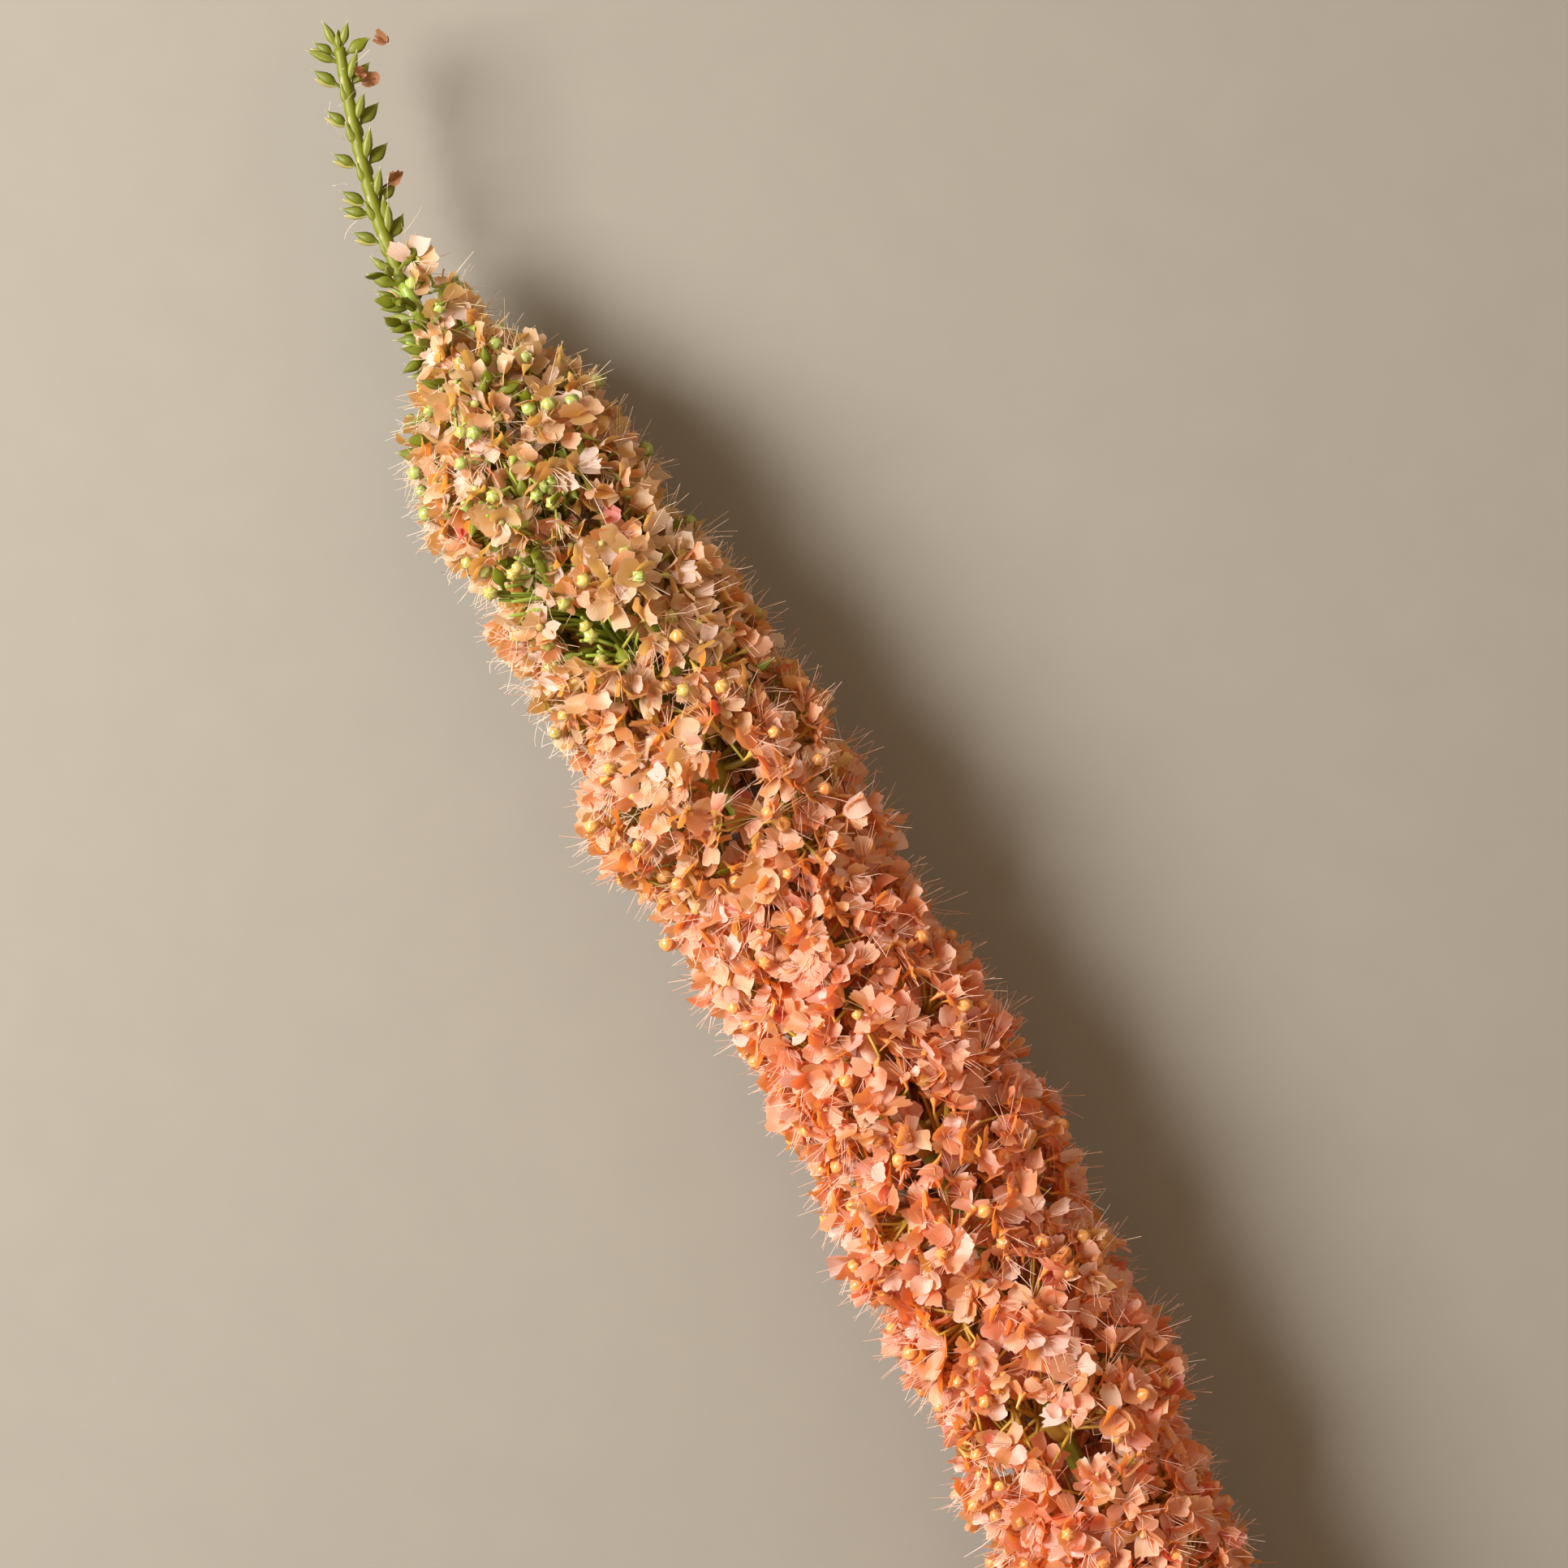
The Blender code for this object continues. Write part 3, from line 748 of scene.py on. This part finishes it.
class Nodes:
    """Short ways to add and join shader nodes."""

    def __init__(self, name):
        self.material = bpy.data.materials.new(name)
        self.material.use_nodes = True
        self.tree = self.material.node_tree
        self.shader = self.tree.nodes["Principled BSDF"]
        self.output = self.tree.nodes["Material Output"]

    def node(self, kind, inputs=None, **settings):
        made = self.tree.nodes.new(kind)
        for key, value in settings.items():
            setattr(made, key, value)
        for key, value in (inputs or {}).items():
            self.set(made.inputs[key], value)
        return made

    def set(self, socket, value):
        if isinstance(value, bpy.types.NodeSocket):
            self.tree.links.new(value, socket)
        elif isinstance(value, tuple) and len(value) == 3 and socket.type == "RGBA":
            socket.default_value = (*value, 1.0)
        else:
            socket.default_value = value

    def surface(self, colour, roughness, **others):
        inputs = {"Base Color": colour, "Roughness": roughness, **others}
        for name, value in inputs.items():
            self.set(self.shader.inputs[name.replace("_", " ")], value)

    def attribute(self, name, output="Fac"):
        """One of the mesh's named per-point values."""
        return self.node("ShaderNodeAttribute", attribute_name=name).outputs[output]

    def math(self, operation, *values):
        made = self.node("ShaderNodeMath", operation=operation)
        for socket, value in zip(made.inputs, values):
            self.set(socket, value)
        return made.outputs[0]

    def times(self, a, b):
        return self.math("MULTIPLY", a, b)

    def noise(self, scale, detail=2.0, vector=None):
        inputs = {"Scale": scale, "Detail": detail}
        if vector is None:
            vector = self.node("ShaderNodeTexCoord").outputs["Object"]
        inputs["Vector"] = vector
        return self.node("ShaderNodeTexNoise", inputs).outputs["Fac"]

    def ramp(self, factor, *stops):
        made = self.node("ShaderNodeValToRGB", {"Fac": factor})
        elements = made.color_ramp.elements
        while len(elements) < len(stops):
            elements.new(0.5)
        for element, (place, colour) in zip(elements, stops):
            element.position = place
            element.color = (*colour, 1.0)
        return made.outputs["Color"]

    def mix(self, factor, a, b):
        made = self.node("ShaderNodeMix", data_type="RGBA")
        self.set(made.inputs[0], factor)
        self.set(made.inputs[6], a)
        self.set(made.inputs[7], b)
        return made.outputs[2]

    def tinge(self, colour, mask, share, other):
        """Takes a colour some of the way to another one where the mask is high."""
        return self.mix(self.times(mask, share), colour, other)

    def bump(self, height, strength, distance):
        inputs = {"Height": height, "Strength": strength, "Distance": distance}
        return self.node("ShaderNodeBump", inputs).outputs["Normal"]

    def glow(self, colour, share):
        """Lets light through: mixes the shader with a translucent one."""
        inner = self.node("ShaderNodeBsdfTranslucent", {"Color": colour})
        mixed = self.node("ShaderNodeMixShader", {"Fac": share})
        self.set(mixed.inputs[1], self.shader.outputs[0])
        self.set(mixed.inputs[2], inner.outputs[0])
        self.set(self.output.inputs["Surface"], mixed.outputs[0])


THREAD_PITCH = 0.37
CLOTH_COLOURS = (
    (0.0, (0.70, 0.53, 0.17)),
    (0.25, (0.90, 0.55, 0.20)),
    (0.5, (0.97, 0.48, 0.19)),
    (0.78, (0.96, 0.33, 0.11)),
    (1.0, (0.62, 0.06, 0.04)),
)
FOOT_COLOURS = (
    (0.0, (0.66, 0.40, 0.12)),
    (0.5, (0.88, 0.25, 0.04)),
    (1.0, (0.55, 0.06, 0.03)),
)
# The colour of the light that comes through the cloth.
THROUGH_COLOURS = (
    (0.0, (0.78, 0.48, 0.10)),
    (0.4, (0.97, 0.35, 0.035)),
    (1.0, (0.90, 0.10, 0.01)),
)
WITHERED_COLOURS = ((0.0, (0.20, 0.09, 0.028)), (1.0, (0.34, 0.165, 0.06)))
FRAYED_COLOUR = (1.0, 0.86, 0.72)
# The pale colour painted on some petals, partly as painted highlights.
PALE_HIGHLIGHT_COLOUR = (1.0, 0.91, 0.80)
GAP_COLOUR = (0.46, 0.10, 0.02)
FOOT_LENGTH = 3.2  # how far up a petal its deeper foot reaches


def cloth_material(name, dye, foot_dye, through, gloss=1.0, pale_edge=0.35):
    """Plain-woven, stiffened cloth: dyed unevenly, deeper towards the petal's foot, and lit through."""
    nodes = Nodes(name)
    cloth = nodes.attribute("cloth", "Vector")
    parts = nodes.node("ShaderNodeSeparateXYZ", {"Vector": cloth}).outputs
    blotch = nodes.noise(140.0)
    tint = nodes.math("ADD", parts[2], nodes.times(nodes.math("SUBTRACT", blotch, 0.5), 0.25))
    dyed = nodes.ramp(tint, *dye)
    foot = nodes.math("SUBTRACT", 1.0, nodes.math("DIVIDE", parts[1], FOOT_LENGTH))
    foot = nodes.math("MAXIMUM", foot, 0.0)
    dyed = nodes.tinge(dyed, foot, 0.6, nodes.ramp(tint, *foot_dye))
    edge = nodes.math("POWER", nodes.attribute("edge"), 3.0)
    dyed = nodes.tinge(dyed, edge, pale_edge, FRAYED_COLOUR)
    # Painted highlight: some petals taken towards a pale colour, partly paler cloth.
    dyed = nodes.tinge(dyed, nodes.attribute("faded"), 0.85, PALE_HIGHLIGHT_COLOUR)
    warp, weft = (nodes.math("SINE", nodes.times(parts[axis], TAU / THREAD_PITCH)) for axis in (0, 1))
    threads = nodes.math("MULTIPLY_ADD", nodes.times(warp, weft), 0.5, 0.5)
    woven = nodes.tinge(dyed, threads, 0.72, nodes.mix(0.75, dyed, GAP_COLOUR))
    sheen = {"Sheen_Weight": 0.1, "Sheen_Roughness": 0.35, "Sheen_Tint": (1.0, 0.92, 0.86)}
    bump = nodes.bump(threads, 0.8, 0.0001)
    nodes.surface(woven, 0.43, **sheen, Specular_IOR_Level=gloss, IOR=2.2, Normal=bump)
    nodes.glow(nodes.ramp(tint, *through), 0.52)
    return nodes.material


GOLDEN_COLOUR = (0.80, 0.50, 0.16)
RIDGE_COLOUR = (0.85, 0.80, 0.50)


def plastic_material(name, low, high, roughness, ridge):
    """Moulded plastic whose colour goes from low to high by the mesh's green value."""
    nodes = Nodes(name)
    colour = nodes.ramp(nodes.attribute("green"), (0.0, low), (1.0, high))
    mottle = nodes.noise(420.0)
    colour = nodes.tinge(colour, mottle, 0.35, nodes.mix(0.5, colour, GOLDEN_COLOUR))
    if ridge:
        crest = nodes.math("MULTIPLY_ADD", nodes.attribute("ridge"), 0.5, 0.5)
        colour = nodes.tinge(colour, crest, ridge, RIDGE_COLOUR)
    rough = nodes.math("MULTIPLY_ADD", mottle, 0.2, roughness - 0.1)
    nodes.surface(colour, rough, Normal=nodes.bump(nodes.noise(900.0), 0.25, 0.0002))
    nodes.glow(colour, 0.26)
    return nodes.material


# Bristle colour low down and at the top: the warm orange is painted shade, clear nylon as it looks in shadow,
# and the top's is a little green. The pale one is painted light, a bristle as it looks lit.
SHADED_BRISTLE_COLOURS = ((0.0, (0.90, 0.48, 0.30)), (1.0, (0.78, 0.68, 0.40)))
LIT_BRISTLE_COLOUR = (0.97, 0.88, 0.76)


def bristle_material():
    """Clear stiff nylon, glossy and a little green at the top of the flower: warm orange as painted shade,
    taken at random towards pale as painted light.
    """
    nodes = Nodes("bristle_nylon")
    colour = nodes.ramp(nodes.attribute("green"), *SHADED_BRISTLE_COLOURS)
    colour = nodes.tinge(colour, nodes.attribute("light"), 0.75, LIT_BRISTLE_COLOUR)
    nodes.surface(colour, 0.25, Normal=nodes.bump(nodes.noise(1500.0), 0.15, 0.0001))
    nodes.glow(colour, 0.35)
    return nodes.material


STEM_COLOURS = ((0.3, (0.12, 0.15, 0.008)), (0.75, (0.21, 0.23, 0.016)))


def stem_material():
    """Green plastic coating with long faint streaks and a soft shine."""
    nodes = Nodes("stem_plastic")
    place = nodes.node("ShaderNodeTexCoord").outputs["Object"]
    stretched = nodes.node("ShaderNodeMapping", {"Vector": place, "Scale": (0.06, 1.0, 1.0)}).outputs[0]
    streak = nodes.noise(900.0, 3.0, stretched)
    rough = nodes.math("MULTIPLY_ADD", streak, 0.3, 0.25)
    nodes.surface(nodes.ramp(streak, *STEM_COLOURS), rough, Normal=nodes.bump(streak, 0.3, 0.0003))
    return nodes.material


BUD_COLOURS = ((0.0, (0.16, 0.19, 0.004)), (0.5, (0.235, 0.26, 0.006)), (1.0, (0.50, 0.42, 0.13)))
# The pale colour painted on the buds' rib crests as highlights.
BUD_HIGHLIGHT_STREAK = (0.38, 0.42, 0.18)
BUD_TIP = (0.62, 0.58, 0.36)
BUD_TIP_FROM = 0.84  # where a bud's pale tip begins, as a share of its length


def bud_material():
    """Yellow-green moulded plastic with pale streaks towards each bud's hair tip, painted on the rib crests
    as highlights.
    """
    nodes = Nodes("bud_plastic")
    mottle = nodes.noise(300.0, 3.0)
    hue = nodes.math("SUBTRACT", nodes.attribute("hue"), 0.15)
    colour = nodes.ramp(nodes.math("MULTIPLY_ADD", mottle, 0.3, hue), *BUD_COLOURS)
    # Painted highlight: pale streaks on the rib crests, as strong as each bud's pale value.
    crest = nodes.math("MULTIPLY_ADD", nodes.attribute("ridge"), 0.5, 0.5)
    pale = nodes.times(nodes.attribute("pale"), 0.85)
    colour = nodes.tinge(colour, nodes.math("POWER", crest, 3.0), pale, BUD_HIGHLIGHT_STREAK)
    tip = nodes.times(nodes.math("SUBTRACT", nodes.attribute("height"), BUD_TIP_FROM), 6.0)
    tip = nodes.math("MINIMUM", nodes.math("MAXIMUM", tip, 0.0), 0.85)
    colour = nodes.mix(tip, colour, BUD_TIP)
    rough = nodes.math("MULTIPLY_ADD", mottle, 0.25, 0.36)
    nodes.surface(colour, rough, Normal=nodes.bump(nodes.noise(700.0), 0.3, 0.0002))
    nodes.glow(colour, 0.45)
    return nodes.material


def make_head(materials):
    """Each tier's petals, and the beads, calyxes, bristles, branches and green buds of all tiers."""
    beads, calyxes, bristles, branches, leafy = (Mesh() for _ in range(5))
    for k, (start, end) in enumerate(tier_stations()):
        chance = np.random.default_rng(TIER_SEED + k)
        florets = Florets(start, end, chance)
        petals = Mesh()
        add_petals(petals, florets, chance)
        slot = "petal_peach" if start >= HEAD_END - PEACH_LENGTH else "petal_coral"
        petals.build(f"petals_{k + 1:02d}", materials["petal"], slot, [f"floret_tier_{k + 1:02d}"])
        feet = add_calyxes(calyxes, florets, chance)
        add_beads(beads, florets, chance)
        add_bristles(bristles, florets, chance)
        add_branches(branches, start, end, florets, feet, chance)
        add_leafy_buds(leafy, start, end, florets, chance)
    chance = np.random.default_rng(PATCH_SEED)
    for *place, radius in GREEN_PATCHES:
        add_green_patch(branches, leafy, beads, np.array(place), radius, chance)
    add_fuzz(bristles, chance)
    beads.build("beads", materials["bead"], "bead_plastic")
    calyxes.build("calyxes", materials["calyx"], "bud_plastic")
    bristles.build("bristles", materials["bristle"], "bristle_nylon")
    branches.build("branches", materials["branch"], "stem_plastic")
    leafy.build("leafy_buds", materials["bud"], "bud_plastic")


STEM_RINGS = 241
STEM_SIDES = 20


def make_stem(materials):
    """The stem's coating, from its cut end into the neck."""
    mesh = Mesh()
    s = np.linspace(0.0, NECK_END - 4.0, STEM_RINGS)
    tubes(mesh, stem_point(s)[None], read_outline(STEM_TAPER, s), STEM_SIDES)
    mesh.build("stem_skin", materials["stem"], "stem_plastic", ["stem"])


# Buds that are set one by one: station, turn round the stem (0 is the picture's left and 90 faces up),
# lean away from the stem and length. Each row of the regular nodes repeats these at the given stations.
NODE_STATIONS = (609.0, 618.7, 628.5, 638.5, 648.5)
NODE_BUDS = (
    (0.0, 5, 48, 9.0, "olive"), (1.0, 160, 27, 8.6, "pale"), (0.0, 200, 50, 9.2, "leaf"),
    (-5.0, 48, 12, 6.8, "hug"), (-4.6, 262, 30, 7.4, "olive"), (-3.5, 215, 18, 5.0, "hug"),
)
TOP_BUDS = (
    (658.5, 20, 25, 7.4, "pale"), (656.5, 0, 50, 8.2, "olive"), (655.0, 12, 63, 9.4, "pale"),
    (658.5, 165, 28, 7.2, "pale"), (656.5, 190, 60, 8.4, "leaf"), (658.0, 265, 24, 7.0, "olive"),
    (658.0, 90, 6, 4.6, "pale"),
)
NECK_BUDS = (
    (616.5, 350, 62, 8.6, "olive"), (610.5, 172, 15, 10.0, "leaf"), (601.5, 22, 40, 6.0, "pale"),
    (597.5, 4, 40, 10.0, "leaf"), (600.0, 186, 38, 11.0, "leaf"), (592.0, 24, 70, 8.4, "pale"),
    (595.0, 190, 44, 14.0, "leaf"), (587.0, 12, 74, 9.0, "pale"), (590.0, 70, 40, 7.0, "hug"),
    (583.0, 345, 58, 10.0, "olive"), (579.0, 14, 62, 11.0, "olive"), (584.0, 95, 44, 8.0, "leaf"),
    (573.0, 350, 66, 12.0, "leaf"), (564.0, 6, 74, 19.0, "leaf"),
)
# Brown shrunken petals near the tip: station, turn and distance from the stem.
WITHERED = ((659.0, 184, 11.0), (651.5, 176, 4.4), (649.5, 190, 6.0), (623.5, 180, 6.6))
WITHERED_SIZES = (0.6, 0.75)
FIBRES = 16
FIBRE_RADIUS = 0.055
BRACT_LENGTH = 5.6
# Painted highlights on the bud spike's stem: the length of each pale sliver and its turn round the stem.
HIGHLIGHT_SLIVER_LENGTH = 6.2
HIGHLIGHT_SLIVER_TURN = 75
KNOT_GAP = 4.9  # from one knot of the bud spike to the next
KNOT_HEIGHT = 0.24
KNOT_LENGTH = 0.9
SPIKE_SEED = 41
ODDMENT_SEED = 43


def make_spike(materials):
    """The bare tip with its knots, buds and bracts, and pale slivers on its stem that are painted highlights.
    """
    mesh = Mesh()
    chance = np.random.default_rng(SPIKE_SEED)
    s = np.arange(NECK_END - 5.5, STEM_LENGTH - 1.0, 1.2)
    from_knot = (s - NODE_STATIONS[0] + KNOT_GAP / 2) % KNOT_GAP - KNOT_GAP / 2
    knots = KNOT_HEIGHT * np.exp(-((from_knot / KNOT_LENGTH) ** 2))
    radius = read_outline(STEM_TAPER, s) + 0.1 + knots
    tubes(mesh, stem_point(s)[None], radius, 14, pale=0.2, height=0.0, ridge=0.0, hue=0.45)
    buds = [(station + row[0], *row[1:]) for station in NODE_STATIONS for row in NODE_BUDS]
    for station, turn, lean, length, kind in [*buds, *TOP_BUDS, *NECK_BUDS]:
        along = stem_axes(station)[0]
        turn = math.radians(turn + chance.normal(0, 5))
        lean = math.radians(lean + chance.normal(0, 3))
        out = outwards(station, turn)
        direction = along * math.cos(lean) + out * math.sin(lean)
        base = stem_point(station) + out * 0.6
        length *= chance.normal(1.0, 0.05)
        add_bud(mesh, base, direction, length, kind)
        if kind == "olive":
            under = unit(out - along * 1.1)
            foot = base + direction * length * 0.2 + under * 0.75
            add_bud(mesh, foot, direction + under * 0.16, BRACT_LENGTH, "bract")
    # Painted highlight: a pale cream sliver along the stem's upper left side at each knot.
    for station in NODE_STATIONS:
        out = outwards(station, math.radians(HIGHLIGHT_SLIVER_TURN))
        base = stem_point(station - 1.5) + out * read_outline(STEM_TAPER, station) * 0.82
        add_bud(mesh, base, stem_axes(station)[0], HIGHLIGHT_SLIVER_LENGTH, "streak")
    mesh.build("bud_spike_skin", materials["bud"], "bud_plastic", ["bud_spike"])


def add_fibre(mesh, start, end, chance):
    """A hair-fine pale fibre that sags between two points."""
    sag = (start + end) / 2 + chance.normal(0, 0.16, 3) * np.linalg.norm(end - start)
    tubes(mesh, curve(start[None], sag[None], end[None], 6), FIBRE_RADIUS, 3, green=0.3, light=1.0)


def make_tip_oddments(materials):
    """Withered petals and loose fibres caught on the buds round the tip."""
    petals, fibres = Mesh(), Mesh()
    chance = np.random.default_rng(ODDMENT_SEED)
    for station, turn, distance in WITHERED:
        base = (stem_point(station) + outwards(station, math.radians(turn)) * distance)[None]
        for _ in range(2):
            run = unit(stem_axes(station)[0] * 0.6 + chance.normal(0, 0.6, (1, 3)))
            size = chance.uniform(*WITHERED_SIZES)
            tint = chance.random(1)
            foot = base - run * 1.6
            cup_petals(petals, foot, run, across(run)[0], size, tint, chance, crumple=2.5, pale_highlight_spread=0.0)
        add_fibre(fibres, stem_point(station - 2.0), base[0], chance)
    for _ in range(FIBRES):
        station = chance.uniform(NECK_END + 4.0, STEM_LENGTH - 3.0)
        out = outwards(station, chance.uniform(0, TAU))
        start = stem_point(station) + out * chance.uniform(2.0, 6.0)
        end = start + unit(out + chance.normal(0, 0.9, 3)) * chance.uniform(4.0, 9.0)
        add_fibre(fibres, start, end, chance)
    petals.build("withered_petals", materials["withered"], "petal_peach")
    fibres.build("tip_fibres", materials["bristle"], "bristle_nylon")


# The picture: how wide it is on the surface, where its middle falls there and how it is turned.
PICTURE_SPAN = 386.4
PICTURE_MIDDLE = (110.7, -14.2, 0.0)
PICTURE_TURN = -118.5
LENS = 100.0
SENSOR = 36.0


def make_camera():
    """Looks straight down at the flower."""
    data = bpy.data.cameras.new("camera")
    data.lens = LENS
    data.sensor_width = SENSOR
    data.clip_end = 20.0
    camera = bpy.data.objects.new("camera", data)
    height = REST_HEIGHT + PICTURE_SPAN * LENS / SENSOR
    camera.location = (np.array(PICTURE_MIDDLE) + [0.0, 0.0, height]) * MM
    camera.rotation_euler = (0.0, 0.0, math.radians(PICTURE_TURN))
    bpy.context.scene.collection.objects.link(camera)
    bpy.context.scene.camera = camera


def add_light(name, picture_direction, distance, size, power, colour):
    """A square soft light placed by its direction in the picture: right, up and towards the camera."""
    right, up, near = picture_direction
    turn = math.radians(PICTURE_TURN)
    x = right * math.cos(turn) - up * math.sin(turn)
    y = right * math.sin(turn) + up * math.cos(turn)
    direction = unit(np.array([x, y, near]))
    data = bpy.data.lights.new(name, "AREA")
    data.size = size
    data.energy = power
    data.color = colour
    light = bpy.data.objects.new(name, data)
    light.location = np.array(PICTURE_MIDDLE) * MM + direction * distance
    light.rotation_mode = "QUATERNION"
    light.rotation_quaternion = Vector(direction).to_track_quat("Z", "Y")
    bpy.context.scene.collection.objects.link(light)


# The surface, the light from all round, and two soft lights: each one's direction in the picture, its
# distance and size in metres, its power and its colour.
FLOOR_SIZE = 14.0
FLOOR_COLOURS = ((0.205, 0.19, 0.16), (0.22, 0.205, 0.172))
WORLD_COLOUR = (1.0, 0.68, 0.43, 1.0)
WORLD_STRENGTH = 0.36
LIGHTS = {
    "key": ((-0.85, 0.15, 0.75), 1.5, 0.75, 61.0, (1.0, 0.98, 0.96)),
    "fill": ((0.45, 0.3, 1.0), 2.0, 1.5, 11.0, (1.0, 0.79, 0.58)),
}


def make_stage():
    """The paper that the flower lies on, and the light."""
    bpy.ops.mesh.primitive_plane_add(size=FLOOR_SIZE)
    floor = bpy.context.object
    floor.name = "floor"
    nodes = Nodes("floor_paper")
    nodes.surface(nodes.mix(nodes.noise(60.0, 4.0), *FLOOR_COLOURS), 0.9)
    floor.data.materials.append(nodes.material)
    world = bpy.data.worlds.new("studio")
    world.use_nodes = True
    background = world.node_tree.nodes["Background"]
    background.inputs["Color"].default_value = WORLD_COLOUR
    background.inputs["Strength"].default_value = WORLD_STRENGTH
    bpy.context.scene.world = world
    for name, settings in LIGHTS.items():
        add_light(name, *settings)
    bpy.context.scene.view_settings.view_transform = "Standard"


materials = make_materials()
make_head(materials)
make_stem(materials)
make_spike(materials)
make_tip_oddments(materials)
make_camera()
make_stage()
